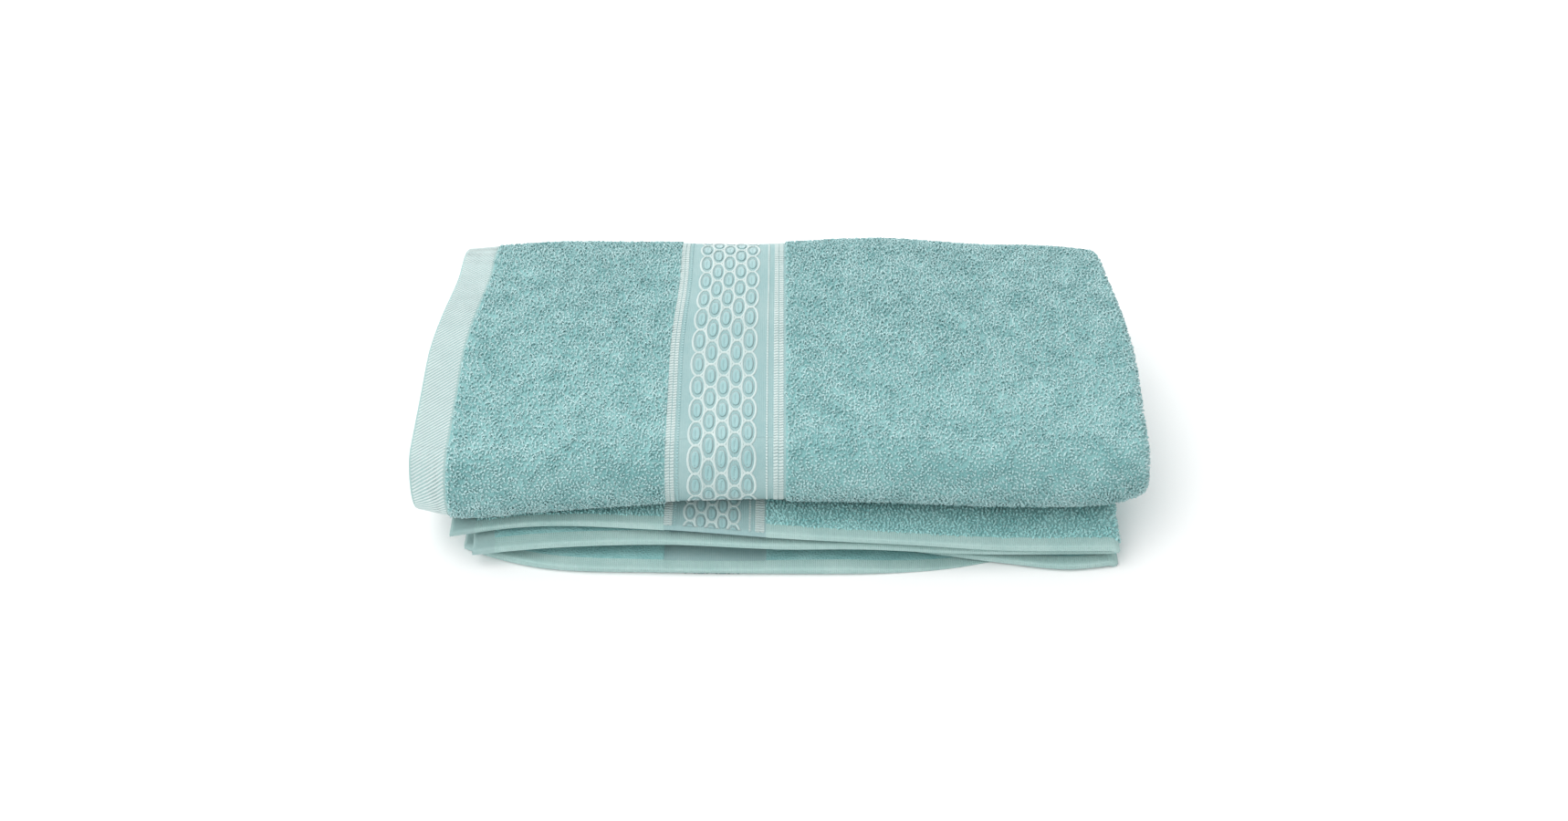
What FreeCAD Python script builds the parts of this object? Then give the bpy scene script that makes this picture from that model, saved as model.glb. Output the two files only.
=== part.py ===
"""Folded bath towel lying on a folded hand towel, as separate soft solids.

Each towel is one cloth. Folding splits it into panels (stacks of plies) and the
folds that join them, and each panel or fold is a solid of its own, because the
upper half opens about the front fold and the bath towel lifts off the hand towel.

Frame: +X along the long side, -Y to the front, +Z up, millimetres. The origin is
at the middle of the bottom of the whole stack.
"""
import FreeCAD, Part
import os
import Sketcher

DRIVING_DIMENSIONS = [
    # alias, value in mm, what it is
    ("bath_length", 350.0, "bath towel, folded, along X"),
    ("bath_depth", 178.0, "bath towel, folded, front nose to rear fold"),
    ("bath_panel", 9.4, "thickness of one bath towel panel of four plies"),
    ("hand_length", 321.0, "hand towel, folded, along X"),
    ("hand_depth", 202.0, "hand towel, folded, front edge to rear fold"),
    ("hand_panel", 11.8, "thickness of one hand towel panel of two plies"),
    ("hand_shift", 2.0, "hand towel's middle to the right of the bath towel's"),
    ("hand_overhang", 24.0, "hand towel's front edge ahead of the bath towel"),
    ("upper_setback", 9.0, "hand towel's upper panel behind its lower one"),
    ("free_setback", 8.0, "bath towel's free edges ahead of its rear fold"),
    ("air_gap", 0.3, "clearance between one soft solid and the next"),
    ("corner_radius", 12.0, "rounding of a panel's free corners, seen from above"),
]

# Heights and places that follow from the driving dimensions.
STACK_FRONT = "-(dims.hand_depth) / 2"
HAND_HEIGHT = "(2 * dims.hand_panel + dims.air_gap)"
HAND_FOLD_RADIUS = f"({HAND_HEIGHT} / 2)"
HAND_FOLD_Y = f"({STACK_FRONT} + dims.hand_depth - {HAND_FOLD_RADIUS})"
BATH_BOTTOM = f"({HAND_HEIGHT} + dims.air_gap)"
BATH_HEIGHT = "(4 * dims.bath_panel + 3 * dims.air_gap)"
FRONT_FOLD_RADIUS = f"({BATH_HEIGHT} / 2)"
FRONT_FOLD_BORE = "(dims.bath_panel + 1.5 * dims.air_gap)"
FRONT_FOLD_Y = f"({STACK_FRONT} + dims.hand_overhang + {FRONT_FOLD_RADIUS})"
INNER_FOLD_RADIUS = "(dims.bath_panel + dims.air_gap / 2)"
REAR_EDGE_Y = f"({STACK_FRONT} + dims.hand_overhang + dims.bath_depth)"
REAR_FOLD_RADIUS = "(dims.bath_panel + dims.air_gap / 2)"
REAR_FOLD_Y = f"({REAR_EDGE_Y} - {REAR_FOLD_RADIUS})"
PANEL_STEP = "(dims.bath_panel + dims.air_gap)"

ABOUT_X = FreeCAD.Vector(1, 0, 0)
ABOUT_Y = FreeCAD.Vector(0, 1, 0)
AXIS_ALONG_X = FreeCAD.Rotation(ABOUT_Y, 90)
BULGE_REAR = AXIS_ALONG_X
BULGE_FRONT = FreeCAD.Rotation(ABOUT_X, 180).multiply(AXIS_ALONG_X)


def make_sheet(doc):
    """The spreadsheet that holds every driving dimension."""
    sheet = doc.addObject("Spreadsheet::Sheet", "dims")
    for row, (alias, value, note) in enumerate(DRIVING_DIMENSIONS, start=1):
        sheet.set(f"A{row}", str(value))
        sheet.setAlias(f"A{row}", alias)
        sheet.set(f"B{row}", note)
    doc.recompute()
    return sheet


def origin_plane(body, role):
    """The body's own origin plane with the given role."""
    return next(f for f in body.Origin.OriginFeatures if f.Role == role)


def centred_rectangle(body, length, depth):
    """A sketch on the XY plane: a rectangle about the body's origin."""
    sketch = body.newObject("Sketcher::SketchObject", body.Name + "_outline")
    sketch.AttachmentSupport = [(origin_plane(body, "XY_Plane"), "")]
    sketch.MapMode = "FlatFace"
    corners = [FreeCAD.Vector(x, y, 0) for x, y in ((-9, -9), (9, -9), (9, 9), (-9, 9))]
    for i, corner in enumerate(corners):
        sketch.addGeometry(Part.LineSegment(corner, corners[(i + 1) % 4]), False)
    for i in range(4):
        sketch.addConstraint(Sketcher.Constraint("Coincident", i, 2, (i + 1) % 4, 1))
        direction = "Horizontal" if i % 2 == 0 else "Vertical"
        sketch.addConstraint(Sketcher.Constraint(direction, i))
    sketch.addConstraint(Sketcher.Constraint("Symmetric", 0, 1, 1, 2, -1, 1))
    across = sketch.addConstraint(Sketcher.Constraint("DistanceX", 0, 1, 0, 2, 18))
    along = sketch.addConstraint(Sketcher.Constraint("DistanceY", 1, 1, 1, 2, 18))
    sketch.setExpression(f"Constraints[{across}]", length)
    sketch.setExpression(f"Constraints[{along}]", depth)
    return sketch


def upright_edges(shape, front, rear):
    """Names of the upright corner edges at the chosen ends of a panel."""
    names = []
    for number, edge in enumerate(shape.Edges, start=1):
        start, end = edge.Vertexes[0].Point, edge.Vertexes[-1].Point
        upright = abs(start.x - end.x) < 1e-6 and abs(start.y - end.y) < 1e-6
        wanted = (front and start.y < 0) or (rear and start.y > 0)
        if upright and wanted:
            names.append(f"Edge{number}")
    return names


def make_panel(doc, label, length, thickness, front_y, rear_y, bottom_z, middle_x="0",
               round_front=False, round_rear=False):
    """A flat stack of plies between two places in Y, with its free corners rounded."""
    body = doc.addObject("PartDesign::Body", label)
    body.Label = label
    sketch = centred_rectangle(body, length, f"({rear_y}) - ({front_y})")
    pad = body.newObject("PartDesign::Pad", label + "_plies")
    pad.Profile = sketch
    pad.setExpression("Length", thickness)
    doc.recompute()
    if round_front or round_rear:
        rounding = body.newObject("PartDesign::Fillet", label + "_corners")
        rounding.Base = (pad, upright_edges(pad.Shape, round_front, round_rear))
        rounding.setExpression("Radius", "dims.corner_radius")
    body.setExpression("Placement.Base.x", middle_x)
    body.setExpression("Placement.Base.y", f"(({front_y}) + ({rear_y})) / 2")
    body.setExpression("Placement.Base.z", bottom_z)
    return body


def half_cylinder(doc, name, radius, length, turn, middle_x, centre_y, centre_z):
    """Half of a cylinder that lies along X and bulges to the front or the rear."""
    half = doc.addObject("Part::Cylinder", name)
    half.Angle = 180
    half.setExpression("Radius", radius)
    half.setExpression("Height", length)
    half.Placement.Rotation = turn
    half.setExpression("Placement.Base.x", f"({middle_x}) - ({length}) / 2")
    half.setExpression("Placement.Base.y", centre_y)
    half.setExpression("Placement.Base.z", centre_z)
    return half


def make_solid_fold(doc, label, radius, length, centre_y, centre_z, middle_x="0",
                    turn=BULGE_REAR):
    """A fold with its plies lying tight against each other."""
    fold = half_cylinder(doc, label, radius, length, turn, middle_x, centre_y, centre_z)
    fold.Label = label
    return fold


def make_wrap_fold(doc, label, radius, bore, length, centre_y, centre_z):
    """The outer fold at the front, which wraps around the inner one."""
    place = (length, BULGE_FRONT, "0", centre_y, centre_z)
    outer = half_cylinder(doc, label + "_outer", radius, *place)
    inner = half_cylinder(doc, label + "_bore", bore, *place)
    wrap = doc.addObject("Part::Cut", label)
    wrap.Label = label
    wrap.Base = outer
    wrap.Tool = inner
    return wrap


def make_hand_towel(doc):
    """Two panels of two plies, joined by one fold at the rear."""
    lower = make_panel(doc, "hand_towel_lower_panel", "dims.hand_length", "dims.hand_panel",
                       STACK_FRONT, HAND_FOLD_Y, "0", "dims.hand_shift", round_front=True)
    upper = make_panel(doc, "hand_towel_upper_panel", "dims.hand_length", "dims.hand_panel",
                       f"{STACK_FRONT} + dims.upper_setback", HAND_FOLD_Y,
                       "dims.hand_panel + dims.air_gap", "dims.hand_shift", round_front=True)
    fold = make_solid_fold(doc, "hand_towel_rear_fold", HAND_FOLD_RADIUS, "dims.hand_length",
                           HAND_FOLD_Y, HAND_FOLD_RADIUS, "dims.hand_shift")
    return [lower, upper, fold]


def make_bath_towel(doc):
    """Four panels of four plies: two halves, the upper one laid back over the lower."""
    start_y = f"{FRONT_FOLD_Y} + dims.air_gap"
    free_y = f"{REAR_EDGE_Y} - dims.free_setback"
    nodes = []
    levels = [("bath_towel_base_panel", free_y), ("bath_towel_inner_panel", free_y),
              ("bath_flap_inner_panel", REAR_FOLD_Y), ("bath_flap_top_panel", REAR_FOLD_Y)]
    for level, (label, end_y) in enumerate(levels):
        nodes.append(make_panel(doc, label, "dims.bath_length", "dims.bath_panel", start_y,
                                end_y, f"{BATH_BOTTOM} + {level} * {PANEL_STEP}",
                                round_rear=end_y == free_y))
    middle_z = f"{BATH_BOTTOM} + {FRONT_FOLD_RADIUS}"
    nodes.append(make_solid_fold(doc, "bath_flap_rear_fold", REAR_FOLD_RADIUS,
                                 "dims.bath_length", REAR_FOLD_Y,
                                 f"{middle_z} + dims.air_gap / 2 + {REAR_FOLD_RADIUS}"))
    nodes.append(make_wrap_fold(doc, "bath_towel_front_fold", FRONT_FOLD_RADIUS, FRONT_FOLD_BORE,
                                "dims.bath_length", FRONT_FOLD_Y, middle_z))
    nodes.append(make_solid_fold(doc, "bath_towel_inner_fold", INNER_FOLD_RADIUS,
                                 "dims.bath_length", FRONT_FOLD_Y, middle_z, turn=BULGE_FRONT))
    return nodes


def check_document(doc, nodes):
    """Stop if any object failed to build or any node isn't one valid solid."""
    for obj in doc.Objects:
        if "Invalid" in obj.State or "Error" in obj.State:
            raise RuntimeError(f"{obj.Name} did not build: {obj.State}")
    for node in nodes:
        shape = node.Shape
        if shape.isNull() or not shape.isValid() or len(shape.Solids) != 1:
            raise RuntimeError(f"{node.Label} is not one valid solid")


def main():
    doc = FreeCAD.newDocument("towel_set")
    make_sheet(doc)
    nodes = make_hand_towel(doc) + make_bath_towel(doc)
    doc.recompute()
    check_document(doc, nodes)
    os.makedirs("parts", exist_ok=True)
    for node in nodes:
        node.Shape.exportStep(f"parts/{node.Label}.step")
        box = node.Shape.BoundBox
        print(f"{node.Label}: {box.XLength:.1f} x {box.YLength:.1f} x {box.ZLength:.1f} mm,"
              f" y {box.YMin:.1f} to {box.YMax:.1f}, z {box.ZMin:.1f} to {box.ZMax:.1f}")


main()
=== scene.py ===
# %% [markdown]
# # A folded bath towel on its hand towel
#
# Both towels are single cloths, woven flat and then folded. So everything here is made in
# flat cloth coordinates first: u runs along the towel's length, v across its width, and a
# height stands up from the middle of the cloth. One folding function then carries cloth,
# pile, border and hem into place together, and nothing has to be fitted afterwards.

# %% Load the frame
import math
import bmesh
import bpy
import numpy as np
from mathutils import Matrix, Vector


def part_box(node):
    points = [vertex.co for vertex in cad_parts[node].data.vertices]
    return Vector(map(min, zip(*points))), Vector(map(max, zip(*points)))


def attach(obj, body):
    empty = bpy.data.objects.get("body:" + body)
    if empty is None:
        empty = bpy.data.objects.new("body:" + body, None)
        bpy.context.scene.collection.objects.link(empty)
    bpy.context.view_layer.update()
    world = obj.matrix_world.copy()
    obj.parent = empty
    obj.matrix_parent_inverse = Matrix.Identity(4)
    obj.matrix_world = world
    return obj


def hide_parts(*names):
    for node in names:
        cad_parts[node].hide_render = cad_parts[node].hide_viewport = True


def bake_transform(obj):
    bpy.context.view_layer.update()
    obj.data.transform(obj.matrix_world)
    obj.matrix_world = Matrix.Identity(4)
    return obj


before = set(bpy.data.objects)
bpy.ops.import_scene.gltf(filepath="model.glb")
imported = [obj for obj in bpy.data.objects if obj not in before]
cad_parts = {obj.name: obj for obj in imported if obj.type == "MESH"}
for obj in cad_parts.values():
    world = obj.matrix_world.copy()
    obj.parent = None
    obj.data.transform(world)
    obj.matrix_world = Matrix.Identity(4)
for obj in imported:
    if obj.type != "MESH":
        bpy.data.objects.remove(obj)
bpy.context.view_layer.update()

MM = 0.001
QUARTER = math.pi / 2

# %% [markdown]
# ## The camera
#
# The stack is seen from the front and well above, from far enough away that its sides
# close in only slightly. The camera comes first, because every later choice of detail
# depends on how large a thread looks from there.

# %% Camera
def add_object(name, data):
    thing = bpy.data.objects.new(name, data)
    bpy.context.scene.collection.objects.link(thing)
    return thing


def add_camera(place, pitch_down, focal_mm):
    data = bpy.data.cameras.new("camera")
    data.lens = focal_mm
    data.sensor_width = 36
    camera = add_object("camera", data)
    camera.location = place
    camera.rotation_euler = (QUARTER - pitch_down, 0, 0)
    bpy.context.scene.camera = camera
    return camera


camera = add_camera((0.001, -0.798, 0.687), math.radians(40), 46.9)
print("camera at", tuple(camera.location))

# %% [markdown]
# ## Where the folds are
#
# Folding a cloth is bending it along straight lines. Seen end on, its path is a chain of
# straight runs and half turns. A towel is folded twice: along its length first, into a
# stack of plies, and then the whole stack across its width, into panels. Both chains are
# read from the CAD boxes, so the cloth lies exactly where the solids say.

# %% A path of straight runs and turns
class FoldPath:
    """A chain of straight runs and turns in a plane, measured along its outer face."""

    def __init__(self, start, outer, heading=0.0):
        self.spot = np.array(start, float)
        self.outer = outer
        self.angle = heading
        self.runs = []
        self.length = 0.0

    def run(self, length):
        self.runs.append(("run", self.length, length, self.spot.copy(), self.angle))
        self.spot = self.spot + length * np.array([math.cos(self.angle), math.sin(self.angle)])
        self.length += length
        return self

    def turn(self, kind, radius):
        """Half a turn: a right one has the outer face outside, a left one inside."""
        way = -1 if kind == "right" else 1
        side = np.array([-math.sin(self.angle), math.cos(self.angle)])
        centre = self.spot + way * radius * side
        length = math.pi * (radius + (self.outer if kind == "right" else 0))
        self.runs.append((kind, self.length, length, centre, self.angle, radius))
        self.spot = centre + way * radius * side
        self.angle += way * math.pi
        self.length += length
        return self

    def starts(self):
        return [piece[1] for piece in self.runs] + [self.length]

    def at(self, s):
        """Places and unit normals at distances s along the path."""
        s = np.asarray(s, float)
        place = np.zeros(s.shape + (2,))
        normal = np.zeros(s.shape + (2,))
        last = len(self.runs) - 1
        for i, piece in enumerate(self.runs):
            kind, begin, length, spot, angle = piece[:5]
            inside = (s >= begin) if i == last else (s >= begin) & (s < begin + length)
            if i == 0:
                inside |= s < begin
            along = s[inside] - begin
            if kind == "run":
                heading = np.array([math.cos(angle), math.sin(angle)])
                place[inside] = spot + along[:, None] * heading
                normal[inside] = (-heading[1], heading[0])
            else:
                way = -1 if kind == "right" else 1
                spin = angle + way * math.pi * along / length
                left = np.stack([-np.sin(spin), np.cos(spin)], axis=1)
                place[inside] = spot - way * piece[5] * left
                normal[inside] = left
        return place, normal


# %% Both towels' paths, from the CAD
def corners(node):
    low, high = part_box(node)
    return np.array(low), np.array(high)


base_low, base_high = corners("bath_towel_base_panel")
inner_low, inner_high = corners("bath_towel_inner_panel")
front_low, front_high = corners("bath_towel_front_fold")
rear_low, rear_high = corners("bath_flap_rear_fold")
lower_low, lower_high = corners("hand_towel_lower_panel")
upper_low, upper_high = corners("hand_towel_upper_panel")
hand_rear_y = corners("hand_towel_rear_fold")[0][1]

# Each end of the cloth, and each turn inside the stack, stops a little short of the outside.
TURN_BACK = 2 * MM
BATH_END_BACK = 4 * MM
HAND_END_BACK = 3 * MM
BATH_PLIES = 4
bath_panel = base_high[2] - base_low[2]
bath_step = inner_low[2] - base_low[2]
bath_ply = bath_panel / BATH_PLIES
bath_outer = 1.5 * bath_ply
bath_half_width = base_high[0]
turn_x = bath_half_width - 2 * bath_ply
return_x = -bath_half_width + bath_ply + TURN_BACK
bath_along = FoldPath((-bath_half_width, bath_outer), 0)
bath_along.run(turn_x + bath_half_width).turn("right", bath_outer).run(turn_x - return_x)
bath_along.turn("right", bath_ply / 2).run(turn_x - return_x).turn("left", bath_ply / 2)
bath_along.run(turn_x + bath_half_width - BATH_END_BACK)

base_middle = (base_low[2] + base_high[2]) / 2
hinge_y = front_high[1]
bath_across = FoldPath((base_high[1], base_middle), bath_outer, heading=math.pi)
bath_across.run(base_high[1] - hinge_y).turn("right", 1.5 * bath_step)
bath_across.run(rear_low[1] - hinge_y).turn("right", bath_step / 2)
bath_across.run(rear_low[1] - hinge_y).turn("left", bath_step / 2)
bath_across.run(inner_high[1] - hinge_y)

HAND_PLIES = 2
HAND_FILLED = 0.82
hand_panel = lower_high[2] - lower_low[2]
hand_ply = hand_panel / HAND_PLIES
hand_full = HAND_FILLED * hand_ply
hand_turn_x = lower_high[0] - hand_ply
hand_along = FoldPath((lower_low[0], hand_ply / 2), 0)
hand_along.run(hand_turn_x - lower_low[0]).turn("right", hand_ply / 2)
hand_along.run(hand_turn_x - lower_low[0] - HAND_END_BACK)
upper_middle = (upper_low[2] + upper_high[2]) / 2
lower_middle = (lower_low[2] + lower_high[2]) / 2
hand_across = FoldPath((upper_low[1], upper_middle), hand_ply / 2)
hand_across.run(hand_rear_y - upper_low[1]).turn("right", (upper_middle - lower_middle) / 2)
hand_across.run(hand_rear_y - lower_low[1])
for name, along, across in (("bath", bath_along, bath_across), ("hand", hand_along, hand_across)):
    print(f"{name} towel, flat: {along.length:.3f} x {across.length:.3f} m")

# %% [markdown]
# ## How soft cloth settles
#
# A folded towel is never a block. Its corners round off, its top dips and swells by a few
# millimetres, its loose edges wander. These are smooth moves of space, one function for
# each towel, applied to everything that belongs to that towel after it is folded.

# %% Settling
def ramp(value, low, high):
    t = np.clip((value - low) / (high - low), 0, 1)
    return t * t * (3 - 2 * t)


def bump(value, centre, width):
    return np.exp(-((value - centre) / width) ** 2)


def swell(x, y, seed, size):
    """Slow waves from a few sines, between about -1 and 1."""
    rng = np.random.default_rng(seed)
    total = np.zeros_like(x)
    for _ in range(5):
        kx, ky = rng.normal(0, 1 / size, 2)
        total += np.sin(kx * x + ky * y + rng.uniform(0, 2 * math.pi))
    return total / 3


def smooth_line(x, knots, column):
    """A smooth line through given knots, by cubic pieces."""
    places = np.array([knot[0] for knot in knots]) * MM
    values = np.array([knot[column] for knot in knots]) * MM
    slopes = np.gradient(values, places)
    spot = np.clip(np.searchsorted(places, x) - 1, 0, len(places) - 2)
    width = places[spot + 1] - places[spot]
    t = np.clip((x - places[spot]) / width, 0, 1)
    start, end = values[spot], values[spot + 1]
    lean = (slopes[spot] * t * (1 - t) ** 2 - slopes[spot + 1] * t ** 2 * (1 - t)) * width
    return start * (1 + 2 * t) * (1 - t) ** 2 + end * t ** 2 * (3 - 2 * t) + lean


bath_height = front_high[2] - front_low[2]
bath_floor = front_low[2]
rear_y = rear_high[1]
REAR_ROLL = 38 * MM
FRONT_PRESS = 0.2
REAR_RISE = 3.5 * MM
MIDDLE_RISE = 2 * MM
RIGHT_DROP = 3 * MM
CORNER_DROP = 5 * MM
CORNER_PULL = 3 * MM
NOSE_PULL = 5 * MM
LEFT_TAPER, RIGHT_TAPER = 10 * MM, 9 * MM
half_length = 0.175

# How the front of the bath towel hangs along X: (x, sag, how far it leans out), in millimetres.
FRONT_SAG = [(-175, -7, -12.5), (-150, -8.5, -13.5), (-120, -7.5, -11), (-95, -6.5, -9), (-55, -4.5, -6.5),
             (0, -3, -6), (50, -4, -6), (110, -6, -6), (150, -6, -6), (175, -3, -6)]


def settle_bath(points):
    x, y, z = points.T.copy()
    lift = np.clip((z - bath_floor) / bath_height, 0, 1.1)
    front = 1 - ramp(y, hinge_y - 0.02, hinge_y + 0.09)
    over = np.clip(y - (rear_y - REAR_ROLL), 0, 0.9 * REAR_ROLL)
    roll = REAR_ROLL - np.sqrt(REAR_ROLL ** 2 - over ** 2)
    side = np.abs(x)
    end = ramp(side, 0.15, 0.176) ** 2
    corner = ramp(side, 0.13, 0.176) * ramp(y, 0.05, rear_y) * np.where(x < 0, 0.15, 0.4)
    height = bath_height * (1 - FRONT_PRESS * front)
    height += REAR_RISE * ramp(y, -0.03, 0.05) + MIDDLE_RISE * bump(x, 0.035, 0.08) * (1 - front)
    height -= 0.75 * roll + CORNER_DROP * corner + RIGHT_DROP * ramp(x, 0.09, half_length) * (1 - front)
    height += 1.0 * MM * swell(x, y, 3, 0.045) + 0.6 * MM * swell(x, y, 8, 0.02)
    sag = smooth_line(x, FRONT_SAG, 1) * front
    z_new = bath_floor + sag * np.clip(1 - 0.6 * lift, 0, 1) + lift * height
    x_new = x + 1.2 * MM * swell(y, z, 5, 0.03) * ramp(side, 0.12, half_length)
    taper = np.where(x < 0, LEFT_TAPER * ramp(y, -0.01, 0.055), -RIGHT_TAPER * ramp(y, -0.01, 0.1))
    x_new += taper * side / half_length
    y_new = y + 1.2 * MM * swell(x, z, 12, 0.05) + smooth_line(x, FRONT_SAG, 2) * front
    y_new += NOSE_PULL * end * (1 - ramp(y, hinge_y - 0.02, hinge_y))
    y_new -= CORNER_PULL * end * ramp(y, 0.07, rear_y)
    return np.stack([x_new, y_new, z_new], axis=1)


# The hand towel's four front edges, bottom ply first. Each is a soft line with its own
# wander: (x, how far forward it lies, how high its underside is), all in millimetres.
HAND_EDGES = [
    [(-160, -84, 0), (-142, -91, 0), (-122, -96, 0), (-60, -100.5, 0), (0, -102, 0),
     (50, -101, 0), (80, -97.5, 0), (110, -90.5, 0), (160, -84.5, 0)],
    [(-160, -80, 4), (-130, -85, 4.8), (-60, -86, 5), (30, -86, 4.6), (65, -89.5, 2), (105, -95, 0.6),
     (140, -99, 0.3), (160, -96, 0.3)],
    [(-160, -97, 6.2), (-130, -94.5, 7.6), (-60, -91.5, 9), (0, -95.5, 9.5), (40, -94.5, 8.6),
     (84, -93.5, 5.2), (160, -93, 4.4)],
    [(-160, -90, 12.5), (-130, -86, 14), (-60, -88, 15), (0, -93.5, 15), (60, -95.5, 12.6),
     (100, -96, 9.8), (160, -95, 8.6)],
]
FRONT_PLY = 4.3 * MM
LEAST_PLY = 0.3 * MM


def between(value, marks, heights):
    """Straight-line interpolation where the heights vary from point to point."""
    result = heights[0].copy()
    for low, high, start, end in zip(marks[:-1], marks[1:], heights[:-1], heights[1:]):
        t = np.clip((value - low) / (high - low), 0, 1)
        result += (end - start) * t
    return result


def settle_hand(points):
    x, y, z = points.T.copy()
    front = 1 - ramp(y, -0.088, -0.03)
    marks, levels, edges = [], [], []
    slack = (hand_ply - hand_full) / 2
    undersides = [smooth_line(x, knots, 2) for knots in HAND_EDGES]
    undersides.append(undersides[-1] + FRONT_PLY + 1 * MM)
    for number, knots in enumerate(HAND_EDGES):
        low = number * hand_ply + slack
        panel_front = lower_low[1] if number < HAND_PLIES else upper_low[1]
        thick = np.minimum(FRONT_PLY, undersides[number + 1] - undersides[number] - LEAST_PLY)
        marks += [low, low + hand_full]
        levels += [undersides[number], undersides[number] + np.maximum(thick, LEAST_PLY)]
        edges += [smooth_line(x, knots, 1) - panel_front] * 2
    level = between(z, marks, levels) + np.maximum(z - marks[-1], 0)
    wave = 0.9 * MM * swell(x, y, 21, 0.04) * np.clip(z / (2 * hand_panel), 0, 1)
    z_new = z + (level - z) * front + wave * (1 - front) * (1 - ramp(y, 0.03, 0.08))
    y_new = y + between(z, marks, edges) * front + 0.8 * MM * swell(x, 9 * z, 31, 0.03) * front
    plies = z / hand_ply
    inset = (5 + 3 * ramp(plies, 0.9, 1.1)) * MM * (1 - ramp(plies, 2.9, 3.1))
    inset *= (1 - ramp(x, -0.16, -0.1)) * front
    return np.stack([x + inset, y_new, np.maximum(z_new, 0.1 * MM)], axis=1)


def fold_cloth(points, along, across, settle):
    """Takes points (u, v, height) of the flat cloth to their folded place."""
    u, v, height = points.T
    flat_place, flat_normal = along.at(u)
    x = flat_place[:, 0] + height * flat_normal[:, 0]
    level = flat_place[:, 1] + height * flat_normal[:, 1]
    place, normal = across.at(v)
    y = place[:, 0] + level * normal[:, 0]
    z = place[:, 1] + level * normal[:, 1]
    return settle(np.stack([x, y, z], axis=1))


def fold_bath(points):
    return fold_cloth(points, bath_along, bath_across, settle_bath)


def fold_hand(points):
    return fold_cloth(points, hand_along, hand_across, settle_hand)


start_point = fold_bath(np.array([(0, 0, 0)], float))[0]
print("the bath towel's first corner lies at", start_point.round(4).tolist())

# %% [markdown]
# ## What is woven where
#
# A terry towel has a flat turned hem at each end, a flat selvage along each side, and
# looped pile between them, broken by a flat woven border near each end. A table of
# distances from the end says where each zone starts. The cloth is thick where it has pile
# and thin where it is flat, and that step is what makes the border look let in.

# %% Weave plans
BATH_FILLED = 0.92
LOOP_ROOM = 0.55 * MM
BAND_SINK = 0.7 * MM
HEM_SINK = 0.3 * MM
SIDE_SINK = 0.4 * MM


class Weave:
    """Zones of one towel: distances from its ends and sides, in metres."""

    def __init__(self, along, across, ply, hem, band, selvage, filled):
        self.length = along.length
        self.width = across.length
        self.along = along
        self.across = across
        self.hem = hem
        self.band = band
        self.selvage = selvage
        self.full = ply * filled

    def from_edges(self, u, v):
        return np.minimum(u, self.length - u), np.minimum(v, self.width - v)

    def zone(self, u, v):
        """0 pile, 1 hem, 2 border, 3 selvage. One border runs on across its selvage."""
        from_end, from_side = self.from_edges(u, v)
        in_band = (from_end > self.band[0]) & (from_end < self.band[1])
        crosses = (u < self.length / 2) & (v < self.width / 2)
        zone = np.where((from_side < self.selvage) & ~(in_band & crosses), 3, 2 * in_band)
        return np.where(from_end < self.hem, 1, zone)

    def half(self, u, v, looped):
        """Half the cloth's thickness; a looped face leaves room for its loops."""
        from_end, from_side = self.from_edges(u, v)
        soft = 0.7 * MM
        flat_end = 1 - ramp(from_end, self.hem - soft, self.hem + soft)
        flat_side = 1 - ramp(from_side, self.selvage - soft, self.selvage + soft)
        flat_band = ramp(from_end, self.band[0] - soft, self.band[0] + soft)
        flat_band *= 1 - ramp(from_end, self.band[1] - soft, self.band[1] + soft)
        pile = self.full / 2 - (LOOP_ROOM if looped else 0)
        hem_half, band_half = self.full / 2 - HEM_SINK, self.full / 2 - BAND_SINK
        side_half = self.full / 2 - SIDE_SINK
        half = pile + (band_half - pile) * flat_band
        half = half + (side_half - half) * flat_side * (1 - flat_band)
        half = half + (hem_half - half) * flat_end
        edge = np.minimum(from_end, from_side)
        return half * (0.45 + 0.55 * np.sqrt(np.clip(edge / (1.5 * MM), 0, 1)))


bath_weave = Weave(bath_along, bath_across, bath_ply, 17.5 * MM, (119.5 * MM, 177 * MM), 9 * MM,
                   BATH_FILLED)
hand_weave = Weave(hand_along, hand_across, hand_ply, 12 * MM, (102 * MM, 151 * MM), 6.5 * MM,
                   HAND_FILLED)


def stations(path, spacing, extra, low=None, high=None):
    """Where to cut a path: even steps on runs, finer ones on turns and at zone edges."""
    marks = set()
    for kind, begin, length, *_ in path.runs:
        steps = max(2, math.ceil(length / spacing)) if kind == "run" else 10
        if kind != "run" and length > 30 * MM:
            steps = 18
        marks.update(round(begin + length * i / steps, 7) for i in range(steps + 1))
    for mark in extra:
        marks.update(round(mark + shift * MM, 7) for shift in (-0.7, 0, 0.7))
    low = 0 if low is None else low
    high = path.length if high is None else high
    marks = sorted({low, high, *(m for m in marks if low < m < high)})
    kept = [marks[0]]
    for mark in marks[1:]:
        if mark - kept[-1] > 0.15 * MM:
            kept.append(mark)
    kept[-1] = marks[-1]
    return np.array(kept)


def zone_edges(length, distances):
    return [*distances, *(length - d for d in distances)]


for name, weave in (("bath", bath_weave), ("hand", hand_weave)):
    print(f"{name} towel: border from {weave.band[0]:.4f} to {weave.band[1]:.4f} m")


# %% Cloth meshes
def link_mesh(name, points, faces, materials, smooth=True):
    mesh = bpy.data.meshes.new(name)
    mesh.from_pydata(points.tolist(), [], faces)
    mesh.validate()
    for material in materials:
        mesh.materials.append(material)
    if smooth:
        mesh.polygons.foreach_set("use_smooth", [True] * len(mesh.polygons))
    return add_object(name, mesh)


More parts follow.
